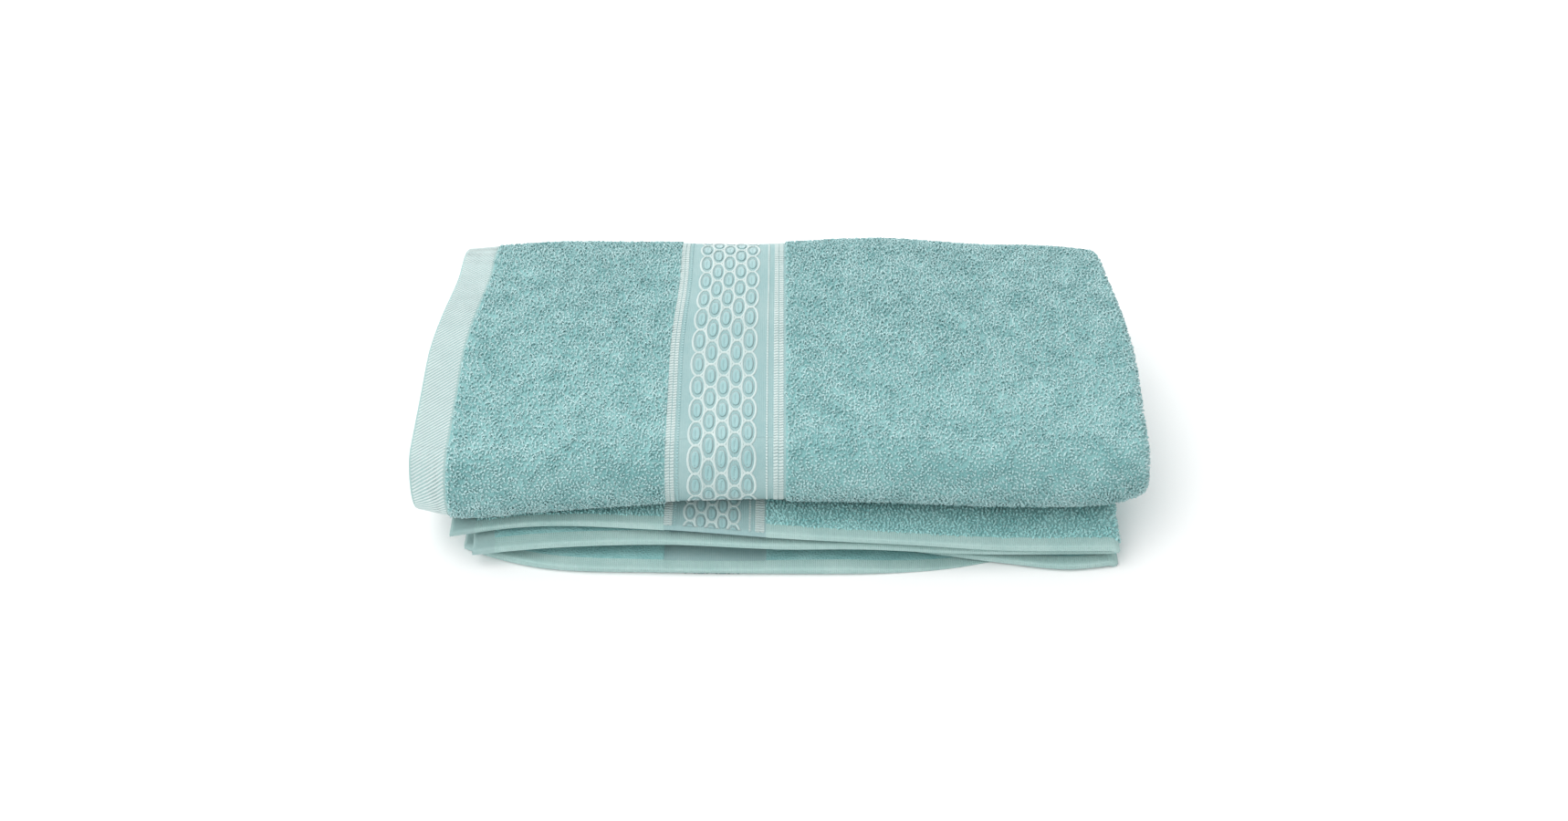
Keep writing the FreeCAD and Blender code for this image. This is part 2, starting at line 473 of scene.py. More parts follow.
def join(name, things):
    """Joins meshes into the first, which takes the name."""
    bpy.ops.object.select_all(action="DESELECT")
    for thing in things:
        thing.select_set(True)
    bpy.context.view_layer.objects.active = things[0]
    bpy.ops.object.join()
    things[0].name = name
    things[0].data.name = name
    return things[0]


def cloth_piece(name, weave, fold, low, high, spacing, looped_until, materials):
    """A closed slab of cloth between two distances across the towel."""
    u_marks = stations(weave.along, spacing, zone_edges(weave.length, (1.5 * MM, weave.hem, *weave.band)))
    v_edges = zone_edges(weave.width, (1.5 * MM, weave.selvage)) + weave.across.starts()
    v_marks = stations(weave.across, spacing, v_edges, low, high)
    u, v = np.meshgrid(u_marks, v_marks, indexing="ij")
    u, v = u.ravel(), v.ravel()
    looped = u < looped_until
    down = weave.half(u, v, False)
    up = np.where(looped, weave.half(u, v, True), down)
    points = np.concatenate([
        fold(np.stack([u, v, up], axis=1)),
        fold(np.stack([u, v, -down], axis=1)),
    ])
    rows, columns = len(u_marks), len(v_marks)
    under = rows * columns
    faces, middle = [], []
    for i in range(rows - 1):
        for j in range(columns - 1):
            a, b = i * columns + j, (i + 1) * columns + j
            faces.append((a, b, b + 1, a + 1))
            faces.append((under + a, under + a + 1, under + b + 1, under + b))
            middle += [(u_marks[i] + u_marks[i + 1], v_marks[j] + v_marks[j + 1])] * 2
    surface = len(faces)
    rim = [(i * columns, (i + 1) * columns) for i in range(rows - 1)]
    rim += [((rows - 1) * columns + j, (rows - 1) * columns + j + 1) for j in range(columns - 1)]
    rim += [((i + 1) * columns + columns - 1, i * columns + columns - 1) for i in range(rows - 1)]
    rim += [(j + 1, j) for j in range(columns - 1)]
    for a, b in rim:
        faces.append((a, under + a, under + b, b))
        middle.append((u[a] + u[b], v[a] + v[b]))
    thing = link_mesh(name, points, faces, materials)
    thing.data.polygons.foreach_set("use_smooth", [i < surface for i in range(len(faces))])
    middle = np.array(middle) / 2
    thing.data.polygons.foreach_set("material_index", weave.zone(middle[:, 0], middle[:, 1]).astype(int))
    layer = thing.data.uv_layers.new(name="cloth")
    flat = np.concatenate([np.stack([u, v], axis=1)] * 2)
    loops = np.empty(len(thing.data.loops), int)
    thing.data.loops.foreach_get("vertex_index", loops)
    layer.data.foreach_set("uv", flat[loops].ravel())
    print(f"{name}: {len(faces)} faces")
    return thing

# %% [markdown]
# ## Shared shader effects
#
# All of the yarn is one dyed cotton. What differs is how it catches light: loops stand up
# and shade each other, flat weave lies smooth and looks paler. Two colours are painted light
# instead: the terry ground under the loops is darker, as painted shade between them, and
# the hand towel's pile is more saturated, as painted bounce light. Two node groups carry the
# common parts: a mottle of slightly different dye, and a weave of crossing threads.

# %% Node helpers
def new_group(name, inputs, outputs):
    group = bpy.data.node_groups.new(name, "ShaderNodeTree")
    for label, kind, value in inputs:
        socket = group.interface.new_socket(label, in_out="INPUT", socket_type=kind)
        socket.default_value = value
    for label, kind in outputs:
        group.interface.new_socket(label, in_out="OUTPUT", socket_type=kind)
    start = group.nodes.new("NodeGroupInput")
    end = group.nodes.new("NodeGroupOutput")
    return group, start, end


def feed(tree, node, values):
    """Sets or links a node's inputs by name or number."""
    for key, value in values.items():
        socket = node.inputs[key]
        if isinstance(value, bpy.types.NodeSocket):
            tree.links.new(value, socket)
        else:
            socket.default_value = value
    return node


def add_node(tree, kind, values):
    return feed(tree, tree.nodes.new(kind), values)


def use_group(tree, group, values):
    node = tree.nodes.new("ShaderNodeGroup")
    node.node_tree = group
    return feed(tree, node, values)


def calc(tree, operation, first, second=0.0, third=0.0, clamp=False):
    node = tree.nodes.new("ShaderNodeMath")
    node.operation = operation
    node.use_clamp = clamp
    feed(tree, node, {0: first, 1: second, 2: third})
    return node.outputs[0]


def mix_colour(tree, factor, first, second):
    node = tree.nodes.new("ShaderNodeMix")
    node.data_type = "RGBA"
    feed(tree, node, {0: factor, 6: first, 7: second})
    return node.outputs[2]


def noise(tree, vector, scale, detail=2.0):
    return add_node(tree, "ShaderNodeTexNoise",
                    {"Vector": vector, "Scale": scale, "Detail": detail}).outputs[0]


# %% Mottled dye and crossed threads
def build_mottle():
    group, start, end = new_group(
        "mottled dye",
        [("Vector", "NodeSocketVector", (0, 0, 0)),
         ("Dark", "NodeSocketColor", (0.2, 0.4, 0.4, 1)),
         ("Pale", "NodeSocketColor", (0.5, 0.7, 0.7, 1)),
         ("Speck", "NodeSocketFloat", 900.0),
         ("Blotch", "NodeSocketFloat", 60.0)],
        [("Color", "NodeSocketColor"), ("Height", "NodeSocketFloat")])
    speck = noise(group, start.outputs["Vector"], start.outputs["Speck"], 1.0)
    blotch = noise(group, start.outputs["Vector"], start.outputs["Blotch"], 3.0)
    total = calc(group, "MULTIPLY_ADD", speck, 0.4, calc(group, "MULTIPLY", blotch, 0.75))
    shade = calc(group, "MULTIPLY_ADD", calc(group, "SUBTRACT", total, 0.575), 2.4, 0.5, clamp=True)
    colour = mix_colour(group, shade, start.outputs["Dark"], start.outputs["Pale"])
    feed(group, end, {"Color": colour, "Height": speck})
    return group


def build_weave():
    """Crossing threads: ribs one way, broken by ribs the other way."""
    group, start, end = new_group(
        "crossed threads",
        [("Vector", "NodeSocketVector", (0, 0, 0)),
         ("Along", "NodeSocketFloat", 4000.0),
         ("Across", "NodeSocketFloat", 4000.0)],
        [("Threads", "NodeSocketFloat")])
    parts = add_node(group, "ShaderNodeSeparateXYZ", {0: start.outputs["Vector"]})
    one = calc(group, "SINE", calc(group, "MULTIPLY", parts.outputs[0], start.outputs["Along"]))
    two = calc(group, "SINE", calc(group, "MULTIPLY", parts.outputs[1], start.outputs["Across"]))
    both = calc(group, "ADD", one, calc(group, "MULTIPLY", one, two))
    feed(group, end, {"Threads": calc(group, "MULTIPLY_ADD", both, 0.25, 0.5, clamp=True)})
    return group


MOTTLE = build_mottle()
WEAVE = build_weave()
print("shader groups:", MOTTLE.name, "and", WEAVE.name)


def cotton(name, roughness, sheen):
    """A plain cotton material with its shader, ready for a pattern."""
    material = bpy.data.materials.new(name)
    material.use_nodes = True
    shader = material.node_tree.nodes["Principled BSDF"]
    feed(material.node_tree, shader, {"Roughness": roughness, "Sheen Weight": sheen,
                                      "Sheen Roughness": 0.6, "Specular IOR Level": 0.2})
    return material, material.node_tree, shader


def coordinates(tree, kind):
    node = tree.nodes.new("ShaderNodeTexCoord" if kind == "Object" else "ShaderNodeUVMap")
    if kind == "Object":
        return node.outputs["Object"]
    node.uv_map = kind
    return node.outputs[0]


def mottled(tree, dark, pale, speck, blotch):
    return use_group(tree, MOTTLE, {"Vector": coordinates(tree, "Object"), "Dark": dark, "Pale": pale,
                                    "Speck": speck, "Blotch": blotch})


def raise_bump(tree, shader, height, strength, distance):
    node = add_node(tree, "ShaderNodeBump", {"Height": height, "Strength": strength, "Distance": distance})
    feed(tree, shader, {"Normal": node.outputs[0]})


# %% Yarn colours and finishes
AQUA = (0.25, 0.42, 0.43, 1)
MIST = (0.34, 0.49, 0.49, 1)


def make_painted_shade_ground():
    material, tree, shader = cotton("terry ground, painted shade", 0.95, 0.15)
    # The ground is coloured darker than the loop yarn of the same cotton: painted shade between the loops.
    node = mottled(tree, (0.20, 0.44, 0.44, 1), (0.31, 0.56, 0.555, 1), 1100.0, 80.0)
    feed(tree, shader, {"Base Color": node.outputs["Color"]})
    raise_bump(tree, shader, node.outputs["Height"], 0.7, 1.2 * MM)
    return material


def make_flat_weave(name, dark, pale, pitch, bump_height):
    material, tree, shader = cotton(name, 0.85, 0.1)
    thread = 2 * math.pi / pitch
    threads = use_group(tree, WEAVE, {"Vector": coordinates(tree, "cloth"), "Along": thread,
                                      "Across": thread}).outputs["Threads"]
    dye = mottled(tree, dark, pale, 500.0, 50.0)
    colour = mix_colour(tree, calc(tree, "MULTIPLY_ADD", threads, 0.55, 0.0), dye.outputs["Color"], pale)
    feed(tree, shader, {"Base Color": colour})
    raise_bump(tree, shader, threads, 0.6, bump_height)
    return material


PAINTED_SHADE_GROUND = make_painted_shade_ground()
HEM = make_flat_weave("hem twill", (0.29, 0.445, 0.435, 1), (0.38, 0.53, 0.52, 1), 0.6 * MM, 0.2 * MM)
BORDER = make_flat_weave("border ground", AQUA, MIST, 0.9 * MM, 0.3 * MM)
SELVAGE = make_flat_weave("selvage", (0.31, 0.50, 0.48, 1), (0.43, 0.60, 0.575, 1), 1.0 * MM, 0.5 * MM)
CLOTH_FINISHES = [PAINTED_SHADE_GROUND, HEM, BORDER, SELVAGE]


def make_yarn(name, dark, pale):
    """Yarn that varies from one loop to the next, by the tint stored on each."""
    material, tree, shader = cotton(name, 0.9, 0.55)
    tint = tree.nodes.new("ShaderNodeAttribute")
    tint.attribute_name = "tint"
    dye = mottled(tree, dark, pale, 260.0, 80.0)
    lighter = mix_colour(tree, tint.outputs["Fac"], dye.outputs["Color"], pale)
    feed(tree, shader, {"Base Color": lighter})
    raise_bump(tree, shader, noise(tree, coordinates(tree, "Object"), 4000.0), 0.3, 0.2 * MM)
    return material


PILE = make_yarn("pile yarn", (0.14, 0.39, 0.395, 1), (0.46, 0.70, 0.705, 1))
# The hand towel's pile is the same dyed cotton as the bath towel's, but all of it is coloured more
# saturated: painted bounce light, as on its shaded front strip.
HAND_PILE_PAINTED_BOUNCE = make_yarn("hand towel pile yarn, painted bounce light", (0.19, 0.53, 0.53, 1), (0.42, 0.76, 0.75, 1))
RIB = make_yarn("border yarn", (0.44, 0.565, 0.555, 1), (0.56, 0.67, 0.655, 1))
HEART = make_yarn("border ground yarn", (0.25, 0.45, 0.46, 1), (0.31, 0.51, 0.515, 1))
HEM_RIB = make_yarn("hem yarn", (0.49, 0.595, 0.59, 1), (0.58, 0.68, 0.67, 1))
print("finishes:", [m.name for m in (*CLOTH_FINISHES, PILE, HAND_PILE_PAINTED_BOUNCE, RIB, HEART, HEM_RIB)])

# %% [markdown]
# ## The cloth itself
#
# The bath towel is cut where the joint needs it: the lower panels, the two front wraps,
# and the flap that opens. Neighbours meet on the same points, so no seam shows. The hand
# towel is one piece.

# %% Cloth pieces
under_end, wrap_end, rear_start, rear_end, inner_start, inner_end, bath_end = bath_across.starts()[1:]
wrap_start = under_end
outer_end = bath_along.starts()[3]
bath_cloth = {}
for label, low, high in (("under", 0, wrap_start), ("front_wrap", wrap_start, wrap_end),
                         ("flap", wrap_end, inner_start), ("inner_wrap", inner_start, inner_end),
                         ("inner", inner_end, bath_end)):
    bath_cloth[label] = cloth_piece(f"bath_towel_{label}_cloth", bath_weave, fold_bath, low, high,
                                    8 * MM, outer_end, CLOTH_FINISHES)
bath_cloth["lower"] = join("bath_towel_lower_cloth", [bath_cloth.pop("under"), bath_cloth.pop("inner")])
hand_cloth = cloth_piece("hand_towel_cloth", hand_weave, fold_hand, 0, None, 6 * MM,
                         hand_along.length, CLOTH_FINISHES)

# %% [markdown]
# ## Terry pile
#
# Terry is a cloth of thousands of small loops. They are too many to place by hand, so a
# Geometry Nodes tree scatters points on a flat patch of cloth, never nearer to each other
# than a set spacing, and stands one small arch of yarn on each, turned and leaned at
# random. The patch is then folded like the cloth it grows on.

# %% A tree that grows loops
def combine(tree, x, y, z):
    return add_node(tree, "ShaderNodeCombineXYZ", {0: x, 1: y, 2: z}).outputs[0]


def yarn_section(tree, radius, sides):
    circle = add_node(tree, "GeometryNodeCurvePrimitiveCircle", {"Resolution": sides, "Radius": radius})
    return circle.outputs[0]


def random_value(tree, kind, low, high, seed):
    node = tree.nodes.new("FunctionNodeRandomValue")
    node.data_type = kind
    sockets = {"FLOAT": (2, 3, 1), "FLOAT_VECTOR": (0, 1, 0)}[kind]
    node.inputs[sockets[0]].default_value = low
    node.inputs[sockets[1]].default_value = high
    node.inputs["Seed"].default_value = seed
    return node.outputs[sockets[2]]


def start_tree(name, counts, measures):
    """A tree that takes a patch, counts, measures and a material, and gives geometry."""
    tree = bpy.data.node_groups.new(name, "GeometryNodeTree")
    inputs = [("Geometry", "Geometry"), *((label, "Int") for label in counts),
              *((label, "Float") for label in measures), ("Material", "Material")]
    for label, kind in inputs:
        tree.interface.new_socket(label, in_out="INPUT", socket_type=f"NodeSocket{kind}")
    tree.interface.new_socket("Geometry", in_out="OUTPUT", socket_type="NodeSocketGeometry")
    return tree, tree.nodes.new("NodeGroupInput").outputs


def finish_tree(tree, geometry, material):
    """Every tree ends the same way: real geometry, smooth, with its material."""
    real = add_node(tree, "GeometryNodeRealizeInstances", {0: geometry})
    smooth = add_node(tree, "GeometryNodeSetShadeSmooth", {0: real.outputs[0]})
    dressed = add_node(tree, "GeometryNodeSetMaterial",
                       {"Geometry": smooth.outputs[0], "Material": material})
    add_node(tree, "NodeGroupOutput", {0: dressed.outputs[0]})
    return tree


def build_pile_tree():
    tree, start = start_tree("terry pile", ["Seed"],
                             ["Spacing", "Loop Width", "Loop Height", "Yarn Radius"])
    half = calc(tree, "MULTIPLY", start["Loop Width"], 0.5)
    wide = calc(tree, "MULTIPLY", start["Loop Width"], 0.85)
    tall = calc(tree, "MULTIPLY", start["Loop Height"], 1.3)
    arch = add_node(tree, "GeometryNodeCurvePrimitiveBezierSegment", {
        "Resolution": 3, "Start": combine(tree, calc(tree, "MULTIPLY", half, -1.0), 0.0, 0.0),
        "Start Handle": combine(tree, calc(tree, "MULTIPLY", wide, -1.0), 0.0, tall),
        "End Handle": combine(tree, wide, 0.0, tall), "End": combine(tree, half, 0.0, 0.0)})
    section = yarn_section(tree, start["Yarn Radius"], 3)
    loop = add_node(tree, "GeometryNodeCurveToMesh",
                {"Curve": arch.outputs[0], "Profile Curve": section})
    scatter = tree.nodes.new("GeometryNodeDistributePointsOnFaces")
    scatter.distribute_method = "POISSON"
    crowd = calc(tree, "DIVIDE", 2.0, calc(tree, "MULTIPLY", start["Spacing"], start["Spacing"]))
    feed(tree, scatter, {"Mesh": start["Geometry"], "Distance Min": start["Spacing"],
                         "Density Max": crowd, "Seed": start["Seed"]})
    lean = random_value(tree, "FLOAT_VECTOR", (-0.45, -0.45, 0.0), (0.45, 0.45, 2 * math.pi), 4)
    size = random_value(tree, "FLOAT_VECTOR", (0.85, 0.85, 0.75), (1.25, 1.25, 1.2), 5)
    stand = add_node(tree, "GeometryNodeInstanceOnPoints", {
        "Points": scatter.outputs[0], "Instance": loop.outputs[0], "Rotation": lean, "Scale": size})
    tint = tree.nodes.new("GeometryNodeStoreNamedAttribute")
    tint.data_type = "FLOAT"
    tint.domain = "INSTANCE"
    feed(tree, tint, {"Geometry": stand.outputs[0], "Name": "tint",
                      "Value": random_value(tree, "FLOAT", 0.0, 0.65, 6)})
    return finish_tree(tree, tint.outputs[0], start["Material"])


PILE_TREE = build_pile_tree()
print("tree:", PILE_TREE.name)


def patch(name, rectangles, height):
    """Flat rectangles (u0, u1, v0, v1) of cloth at a height, as one mesh."""
    points, faces = [], []
    for u0, u1, v0, v1 in rectangles:
        start = len(points)
        points += [(u0, v0, height), (u1, v0, height), (u1, v1, height), (u0, v1, height)]
        faces.append(tuple(range(start, start + 4)))
    return link_mesh(name, np.array(points), faces, [])


def grow(seedbed, tree, values):
    """Runs a Geometry Nodes tree on an object and keeps its result as a plain mesh."""
    modifier = seedbed.modifiers.new("grow", "NODES")
    modifier.node_group = tree
    for item in tree.interface.items_tree:
        if item.item_type == "SOCKET" and item.in_out == "INPUT" and item.name in values:
            modifier[item.identifier] = values[item.name]
    seen = seedbed.evaluated_get(bpy.context.evaluated_depsgraph_get())
    mesh = bpy.data.meshes.new_from_object(seen)
    seedbed.modifiers.remove(modifier)
    seedbed.data = mesh
    return seedbed


def read(owner, label, count):
    values = np.empty(len(owner) * count)
    owner.foreach_get(label, values)
    return values.reshape(-1, count)


def fold_mesh(thing, fold):
    points = read(thing.data.vertices, "co", 3)
    thing.data.vertices.foreach_set("co", fold(points).ravel())
    thing.data.update()
    return thing


# Three-sided yarn swept through four places makes a loop of twelve points.
LOOP_POINTS = 12


def quad_mesh(name, points, quads, tint, material):
    """A mesh of four-sided faces from arrays, with a tint on each point."""
    mesh = bpy.data.meshes.new(name)
    mesh.vertices.add(len(points))
    mesh.vertices.foreach_set("co", points.ravel())
    mesh.loops.add(quads.size)
    mesh.loops.foreach_set("vertex_index", quads.ravel())
    mesh.polygons.add(len(quads))
    mesh.polygons.foreach_set("loop_start", np.arange(0, quads.size, 4))
    mesh.polygons.foreach_set("use_smooth", np.ones(len(quads), bool))
    mesh.update(calc_edges=True)
    mesh.attributes.new("tint", "FLOAT", "POINT").data.foreach_set("value", tint)
    mesh.materials.append(material)
    return add_object(name, mesh)


def grow_pile(names, rectangles, cuts, ground, fold, spacing, seed, yarn=PILE):
    """Grows pile on flat cloth, folds it and shares it out between pieces at the cuts."""
    bed = patch("seedbed", rectangles, 0.0)
    values = {"Spacing": spacing, "Loop Width": LOOP_WIDE * spacing, "Loop Height": LOOP_TALL,
              "Yarn Radius": YARN * spacing, "Seed": seed, "Material": yarn}
    grow(bed, PILE_TREE, values)
    points = read(bed.data.vertices, "co", 3)
    tint = read(bed.data.attributes["tint"].data, "value", 1)
    per_loop = len(bed.data.polygons) * LOOP_POINTS // len(points)
    quads = np.array([bed.data.polygons[i].vertices[:] for i in range(per_loop)])
    bpy.data.objects.remove(bed)
    points[:, 2] += ground - 0.2 * MM
    loops = points.reshape(-1, LOOP_POINTS, 3)
    middle = loops[:, :, 1].mean(axis=1)
    pieces = []
    for name, low, high in zip(names, cuts[:-1], cuts[1:]):
        chosen = (middle >= low) & (middle < high)
        mine = fold(loops[chosen].reshape(-1, 3))
        faces = (np.arange(chosen.sum())[:, None, None] * LOOP_POINTS + quads[None]).reshape(-1, 4)
        pieces.append(quad_mesh(name, mine, faces, tint.reshape(-1, LOOP_POINTS)[chosen].ravel(), yarn))
        print(f"{name}: {chosen.sum()} loops, {2 * len(faces)} triangles")
    return pieces


# %% Pile patches
LOOP_WIDE, LOOP_TALL, YARN = 0.7, 1.35 * MM, 0.4
FINE = 1.15 * MM
COARSE = 1.65 * MM


def pile_spans(weave, last):
    """The looped stretches along a towel, from its first hem to a last place."""
    return [(weave.hem + 0.3 * MM, weave.band[0] - 0.3 * MM), (weave.band[1] + 0.3 * MM, last)]


def numbered(stem, count):
    return [f"{stem}_{i + 1}" for i in range(count)]


bath_ground = bath_weave.full / 2 - LOOP_ROOM
hand_ground = hand_weave.full / 2 - LOOP_ROOM
bath_last = outer_end - (turn_x - return_x) + 2 * MM
bath_spans = pile_spans(bath_weave, bath_last)
FLAP_PARTS = 3
flap_cuts = np.linspace(wrap_end, rear_start, FLAP_PARTS + 1)
top_names = ["bath_towel_wrap_pile", *numbered("bath_flap_pile", FLAP_PARTS), "bath_flap_rear_pile"]
wrap_pile, *flap_pile = grow_pile(
    top_names, [(a, b, wrap_start, rear_end) for a, b in bath_spans], [wrap_start, *flap_cuts, rear_end],
    bath_ground, fold_bath, FINE, 11)
flap_pile += grow_pile(["bath_flap_underside_pile"], [(a, b, rear_end, inner_start) for a, b in bath_spans],
                       [rear_end, inner_start], bath_ground, fold_bath, COARSE, 30)
bath_side = bath_end - bath_weave.selvage
inner_pile, = grow_pile(["bath_towel_inner_pile"], [(a, b, inner_end, bath_side) for a, b in bath_spans],
                        [inner_end, bath_side], bath_ground, fold_bath, COARSE, 35)
hand_last = hand_along.starts()[2]
hand_spans = pile_spans(hand_weave, hand_last)
hand_low_v, hand_front_v, hand_high_v = hand_weave.selvage - 0.5 * MM, 0.05, hand_across.starts()[2]
hand_pile = grow_pile(["hand_towel_front_pile"], [(a, b, hand_low_v, hand_front_v) for a, b in hand_spans],
                      [hand_low_v, hand_front_v], hand_ground, fold_hand, FINE, 40, HAND_PILE_PAINTED_BOUNCE)
hand_pile += grow_pile(["hand_towel_pile"], [(a, b, hand_front_v, hand_high_v) for a, b in hand_spans],
                       [hand_front_v, hand_high_v], hand_ground, fold_hand, COARSE, 45, HAND_PILE_PAINTED_BOUNCE)

# %% [markdown]
# ## The woven border
#
# The border is flat cloth with a pattern of paler yarn floating on it: two ladder stripes,
# a dark line, five columns of long honeycomb cells, each with a darker heart, a thin pale
# line and two more ladders. The hem has slanting ribs. Cells and rungs repeat, so two small
# trees lay them out flat. They are cut where the cloth is cut, then folded with it.

# %% Trees for cells and rungs
def build_cell_tree():
    """Staggered columns of oval rings."""
    tree, start = start_tree("honeycomb cells", ["Columns", "Rows"],
                             ["Column Pitch", "Row Pitch", "Half Width", "Half Length", "Yarn Radius"])
    gaps = calc(tree, "SUBTRACT", start["Columns"], 1.0)
    row_gaps = calc(tree, "SUBTRACT", start["Rows"], 1.0)
    grid = add_node(tree, "GeometryNodeMeshGrid", {
        "Size X": calc(tree, "MULTIPLY", gaps, start["Column Pitch"]),
        "Size Y": calc(tree, "MULTIPLY", row_gaps, start["Row Pitch"]),
        "Vertices X": start["Columns"], "Vertices Y": start["Rows"]})
    spot = add_node(tree, "ShaderNodeSeparateXYZ",
                {0: tree.nodes.new("GeometryNodeInputPosition").outputs[0]})
    column = calc(tree, "MULTIPLY_ADD", gaps, 0.5,
                  calc(tree, "DIVIDE", spot.outputs[0], start["Column Pitch"]))
    odd = calc(tree, "MODULO", calc(tree, "ROUND", column), 2.0)
    shift = calc(tree, "MULTIPLY", odd, calc(tree, "MULTIPLY", start["Row Pitch"], 0.5))
    stagger = add_node(tree, "GeometryNodeSetPosition",
                   {"Geometry": grid.outputs[0], "Offset": combine(tree, 0.0, shift, 0.0)})
    oval = add_node(tree, "GeometryNodeCurvePrimitiveCircle", {"Resolution": 16, "Radius": 1.0})
    shaped = add_node(tree, "GeometryNodeTransform",
                  {"Geometry": oval.outputs[0],
                   "Scale": combine(tree, start["Half Width"], start["Half Length"], 1.0)})
    ring = add_node(tree, "GeometryNodeCurveToMesh",
                {"Curve": shaped.outputs[0], "Profile Curve": yarn_section(tree, start["Yarn Radius"], 5)})
    stand = add_node(tree, "GeometryNodeInstanceOnPoints",
                 {"Points": stagger.outputs[0], "Instance": ring.outputs[0]})
    return finish_tree(tree, stand.outputs[0], start["Material"])


def build_rung_tree():
    """A row of short floats of yarn, leaned by an angle."""
    tree, start = start_tree("yarn rungs", ["Count"], ["Pitch", "Rung Length", "Yarn Radius", "Lean"])
    row = add_node(tree, "GeometryNodeMeshLine",
               {"Count": start["Count"], "Offset": combine(tree, 0.0, start["Pitch"], 0.0)})
    half = calc(tree, "MULTIPLY", start["Rung Length"], 0.5)
    line = add_node(tree, "GeometryNodeCurvePrimitiveLine",
                {"Start": combine(tree, calc(tree, "MULTIPLY", half, -1.0), 0.0, 0.0),
                 "End": combine(tree, half, 0.0, 0.0)})
    parts = add_node(tree, "GeometryNodeResampleCurve", {"Curve": line.outputs[0], "Count": 5})
    rung = add_node(tree, "GeometryNodeCurveToMesh",
                {"Curve": parts.outputs[0], "Profile Curve": yarn_section(tree, start["Yarn Radius"], 5),
                 "Fill Caps": True})
    stand = add_node(tree, "GeometryNodeInstanceOnPoints",
                 {"Points": row.outputs[0], "Instance": rung.outputs[0],
                  "Rotation": combine(tree, 0.0, 0.0, start["Lean"])})
    return finish_tree(tree, stand.outputs[0], start["Material"])


CELL_TREE = build_cell_tree()
RUNG_TREE = build_rung_tree()
print("trees:", CELL_TREE.name, "and", RUNG_TREE.name)

# %% Laying yarn on flat cloth
def lay_yarn(tree, middle, values, height, flatten):
    """Grows yarn at a place on the flat cloth and presses it flat; it isn't folded yet."""
    bed = patch("yarn", [(0, 1 * MM, 0, 1 * MM)], 0.0)
    grow(bed, tree, values)
    points = read(bed.data.vertices, "co", 3)
    points[:, 2] = points[:, 2] * flatten + height
    points[:, 0] += middle[0]
    points[:, 1] += middle[1]
    bed.data.vertices.foreach_set("co", points.ravel())
    return bed


def cut_cloth(thing, name, low, high):
    """A copy of flat yarn work, cut to the stretch between two places across the towel."""
    work = bmesh.new()
    work.from_mesh(thing.data)
    for place, way in ((low, -1), (high, 1)):
        everything = [*work.verts, *work.edges, *work.faces]
        bmesh.ops.bisect_plane(work, geom=everything, plane_co=(0, place, 0),
                               plane_no=(0, way, 0), clear_outer=True)
    mesh = thing.data.copy()
    work.to_mesh(mesh)
    work.free()
    mesh.name = name
    return add_object(name, mesh)


def lay_border(weave, low, high, column_pitch, row_pitch, ladders):
    """The pale yarn of one border, between two places across the towel, still flat."""
    start = weave.band[0]
    wide = weave.band[1] - weave.band[0]
    face = weave.full / 2 - BAND_SINK
    rows = int((high - low) / row_pitch) + 1
    values = {"Columns": 5, "Rows": rows, "Column Pitch": column_pitch, "Row Pitch": row_pitch,
              "Half Width": 0.58 * column_pitch, "Half Length": 0.52 * row_pitch,
              "Yarn Radius": 0.66 * MM, "Material": RIB}
    middle = (start + 0.47 * wide, (low + high) / 2 - row_pitch / 4)
    work = [lay_yarn(CELL_TREE, middle, values, face, 0.6)]
    values.update({"Half Width": 0.14 * column_pitch, "Half Length": 0.23 * row_pitch,
                   "Yarn Radius": 1.3 * MM, "Material": HEART})
    work.append(lay_yarn(CELL_TREE, middle, values, face + 0.07 * MM, 0.02))
    pitch = 1.6 * MM
    for share, length, finish in ladders:
        values = {"Count": int((high - low) / pitch), "Pitch": pitch, "Rung Length": length * MM,
                  "Yarn Radius": 0.75 * MM, "Lean": 0.25, "Material": finish}
        work.append(lay_yarn(RUNG_TREE, (start + share * wide, low), values, face, 0.45))
    return join("border", work)


def lay_hem(weave, low, high):
    """Slanting ribs of yarn across a hem, still flat."""
    pitch = 1.85 * MM
    values = {"Count": int((high - low) / pitch), "Pitch": pitch, "Yarn Radius": 0.46 * MM,
              "Rung Length": 1.3 * (weave.hem - 2 * MM), "Lean": 0.7, "Material": HEM_RIB}
    return lay_yarn(RUNG_TREE, (weave.hem / 2, low), values, weave.full / 2 - 0.35 * MM, 0.5)


def fold_yarn(flat, fold, stretches):
    """Cuts flat yarn work into named stretches, folds each and drops the flat one."""
    pieces = [fold_mesh(cut_cloth(flat, name, low, high), fold) for name, low, high in stretches]
    bpy.data.objects.remove(flat)
    for piece in pieces:
        print(f"{piece.name}: {len(piece.data.polygons)} faces")
    return pieces


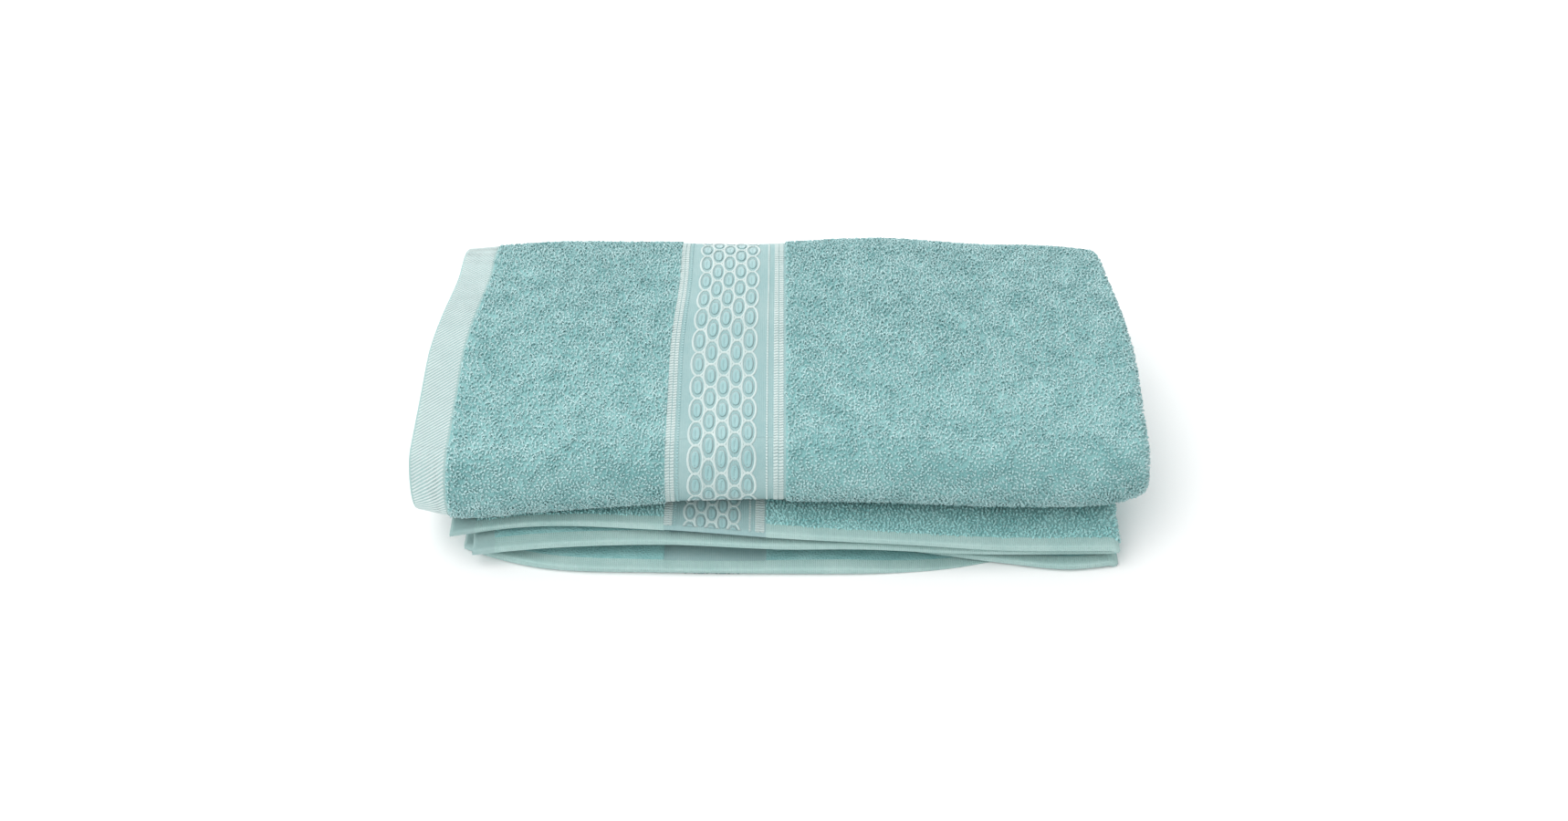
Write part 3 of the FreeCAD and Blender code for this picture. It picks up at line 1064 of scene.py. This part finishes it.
# %% Border and hem yarn
BATH_LADDERS = [(0.022, 2.2, RIB), (0.062, 1.8, RIB), (0.105, 0.8, HEART), (0.84, 0.8, RIB),
                (0.915, 2.2, RIB), (0.96, 2.2, RIB)]
bath_border = lay_border(bath_weave, 0, bath_end, 6.2 * MM, 14.2 * MM, BATH_LADDERS)
bath_hem = lay_hem(bath_weave, 0, bath_end)
bath_yarn = join("bath_yarn", [bath_border, bath_hem])
EDGE_ROOM = 0.5 * MM
STRETCHES = [("bath_towel_under_yarn", EDGE_ROOM, wrap_start),
             ("bath_towel_wrap_yarn", wrap_start, wrap_end),
             ("bath_flap_yarn", wrap_end, inner_start),
             ("bath_towel_inner_wrap_yarn", inner_start, inner_end),
             ("bath_towel_inner_yarn", inner_end, bath_end - EDGE_ROOM)]
under_yarn, wrap_yarn, flap_yarn, inner_wrap_yarn, inner_yarn = fold_yarn(bath_yarn, fold_bath, STRETCHES)
hand_border = lay_border(hand_weave, 0, hand_across.length, 5.2 * MM, 12 * MM, BATH_LADDERS)
hand_yarn, = fold_yarn(hand_border, fold_hand,
                       [("hand_towel_yarn", EDGE_ROOM, hand_across.length - EDGE_ROOM)])

# %% [markdown]
# ## Riding on the frame
#
# Most pieces now say what they move with. The lower panels ride the bath towel and the
# upper ones its flap. The two front wraps lie between them; their shape is fixed where it
# lies, and they ride neither.

# %% Bodies
lower_pieces = [bath_cloth["lower"], inner_pile, under_yarn, inner_yarn]
bending_pieces = [bath_cloth["front_wrap"], bath_cloth["inner_wrap"], wrap_pile, wrap_yarn, inner_wrap_yarn]
flap_pieces = [bath_cloth["flap"], flap_yarn, *flap_pile]
hand_pieces = [hand_cloth, hand_yarn, *hand_pile]
for piece in lower_pieces:
    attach(piece, "bath_towel")
for piece in bending_pieces:
    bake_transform(piece)
for piece in flap_pieces:
    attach(piece, "bath_flap")
for piece in hand_pieces:
    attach(piece, "hand_towel")
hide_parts("bath_towel_base_panel", "bath_towel_inner_panel")
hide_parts("bath_towel_front_fold")
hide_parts("bath_towel_inner_fold")
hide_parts("bath_flap_inner_panel", "bath_flap_top_panel", "bath_flap_rear_fold")
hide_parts("hand_towel_lower_panel", "hand_towel_upper_panel", "hand_towel_rear_fold")

# %% [markdown]
# ## Floor and light
#
# A white sheet of floor and three large soft lights: one from the front left, one above,
# and a low one behind that brightens the rolled rear edge. Even light fills in all round.

# %% Stage
def add_floor(size):
    points = np.array([(-size, -size, 0), (size, -size, 0), (size, size, 0), (-size, size, 0)], float)
    floor = link_mesh("floor", points, [(0, 1, 2, 3)], [], smooth=False)
    material = bpy.data.materials.new("floor")
    material.use_nodes = True
    shader = material.node_tree.nodes["Principled BSDF"]
    feed(material.node_tree, shader, {"Base Color": (0.97, 0.97, 0.97, 1), "Roughness": 0.9})
    floor.data.materials.append(material)


def add_light(name, place, size, power, aim=(0, 0, 0.03)):
    data = bpy.data.lights.new(name, "AREA")
    data.shape = "DISK"
    data.size = size
    data.energy = power
    light = add_object(name, data)
    light.location = place
    reach = np.array(aim) - np.array(place)
    light.rotation_euler = (math.atan2(math.hypot(reach[0], reach[1]), -reach[2]), 0,
                            math.atan2(-reach[0], reach[1]))


def add_world(strength):
    world = bpy.data.worlds.new("studio")
    world.use_nodes = True
    backdrop = world.node_tree.nodes["Background"]
    backdrop.inputs["Color"].default_value = (1, 1, 1, 1)
    backdrop.inputs["Strength"].default_value = strength
    bpy.context.scene.world = world


bpy.context.scene.view_settings.view_transform = "Standard"
add_floor(6)
add_world(0.82)
add_light("key", (-1.1, -0.7, 1.3), 2.4, 17)
add_light("top", (-0.3, 0.8, 1.4), 2.4, 9)
add_light("rear", (-0.4, 1.7, 0.8), 2.0, 13)
